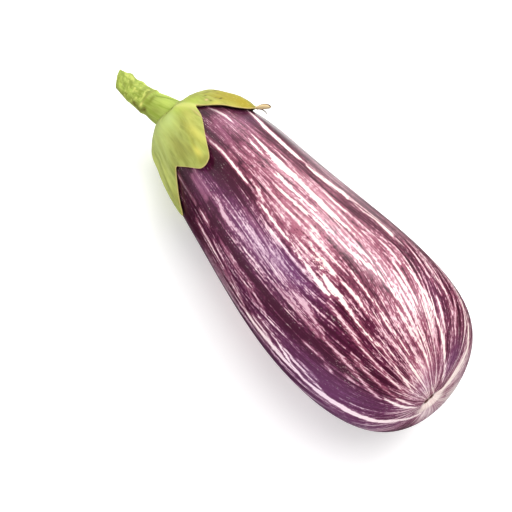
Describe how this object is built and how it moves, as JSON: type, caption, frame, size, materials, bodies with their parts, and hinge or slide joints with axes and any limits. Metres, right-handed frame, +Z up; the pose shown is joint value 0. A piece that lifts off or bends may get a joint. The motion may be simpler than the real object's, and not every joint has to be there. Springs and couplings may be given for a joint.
{
  "type": "eggplant",
  "caption": "Striped eggplant as picked, lying on its flank: a long pear-like fruit with a lobed green calyx and a short cut stem.",
  "frame": {"origin": "on the surface it lies on, below the middle of its box", "axes": "+X along the fruit from the stem to the blossom end, +Z up, +Y to the fruit's side"},
  "size_m": [0.1944, 0.0712, 0.0724],
  "materials": {
    "fruit_skin": "waxy gloss, aubergine with broken cream and pink lengthwise streaks",
    "calyx_green": "matt leafy green",
    "stem_green": "matt fibrous green"
  },
  "bodies": {
    "root": {"fruit": "fruit_skin", "calyx": "calyx_green", "stem": "stem_green"}
  },
  "joints": []
}
